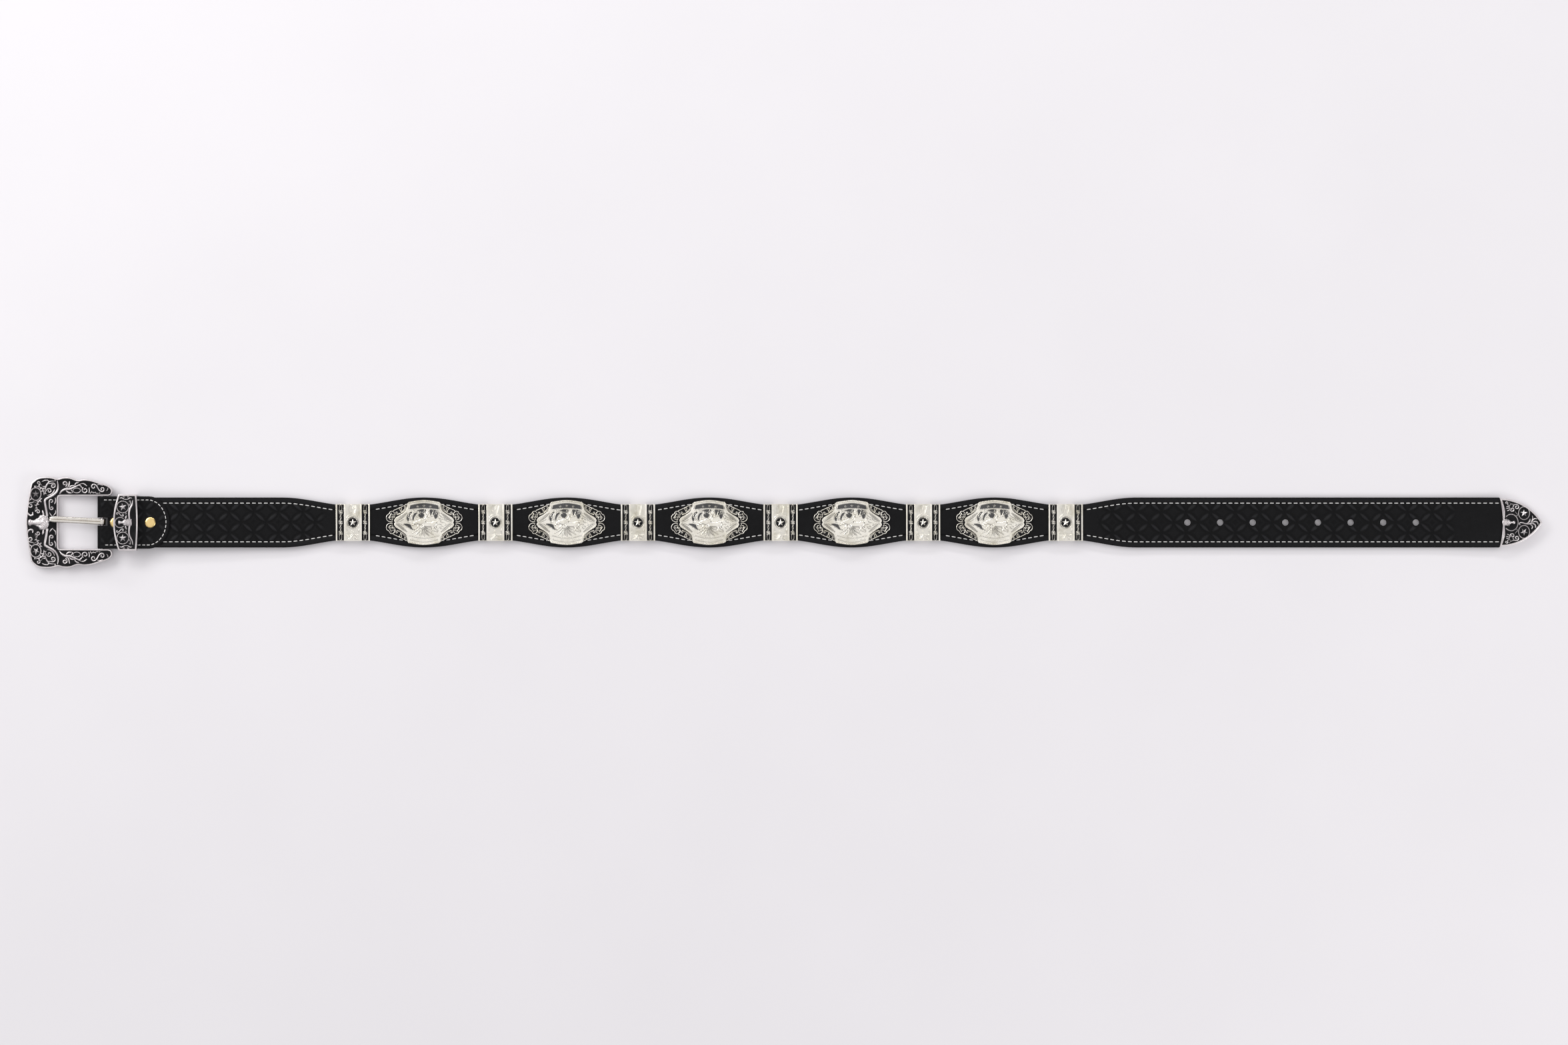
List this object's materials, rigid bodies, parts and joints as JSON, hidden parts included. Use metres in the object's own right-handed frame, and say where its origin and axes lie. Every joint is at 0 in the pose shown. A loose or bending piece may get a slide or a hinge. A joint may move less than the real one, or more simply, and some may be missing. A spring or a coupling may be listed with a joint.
{
  "type": "western concho belt",
  "caption": "Black leather belt with a scalloped strap, cast western buckle, prong, keeper, metal bands, oval conchos and a pointed metal tip.",
  "frame": {"origin": "on the ground under the middle of the belt's outline", "axes": "+X from the buckle to the tip, +Y across the strap, +Z out of the ornamented face"},
  "size_m": [1.1521, 0.0692, 0.0157],
  "materials": {
    "strap_leather": "matte black leather with a fine grain, white stitching",
    "antique_nickel": "antiqued cast nickel relief over black enamel",
    "bright_nickel": "bright nickel plate",
    "bright_silver": "bright engraved silver plate with black enamel fields",
    "black_enamel": "black enamel with silver filigree lines",
    "brass": "polished brass"
  },
  "bodies": {
    "belt": {"strap": "strap_leather", "chape": "strap_leather", "tip": "antique_nickel", "snap_cap_1": "brass", "snap_back_1": "brass", "snap_cap_2": "brass", "snap_back_2": "brass", "slider_1": "bright_silver", "slider_2": "bright_silver", "slider_3": "bright_silver", "slider_4": "bright_silver", "slider_5": "bright_silver", "slider_6": "bright_silver", "concho_base_1": "black_enamel", "concho_base_2": "black_enamel", "concho_base_3": "black_enamel", "concho_base_4": "black_enamel", "concho_base_5": "black_enamel", "concho_plate_1": "bright_silver", "concho_plate_2": "bright_silver", "concho_plate_3": "bright_silver", "concho_plate_4": "bright_silver", "concho_plate_5": "bright_silver"},
    "buckle": {"buckle_frame": "antique_nickel"},
    "prong": {"prong": "bright_nickel"},
    "keeper": {"keeper": "antique_nickel"}
  },
  "joints": [
    {"name": "frame_swing", "type": "hinge", "parent": "belt", "child": "buckle", "pos_m": [-0.5179, 0, 0.00525], "axis": [0, 1, 0], "range_deg": [0, 45]},
    {"name": "prong_swing", "type": "hinge", "parent": "buckle", "child": "prong", "pos_m": [-0.5179, 0, 0.00525], "axis": [0, 1, 0], "range_deg": [0, 70]},
    {"name": "keeper_slide", "type": "slide", "parent": "belt", "child": "keeper", "axis": [1, 0, 0], "range_m": [0, 0.14]}
  ]
}
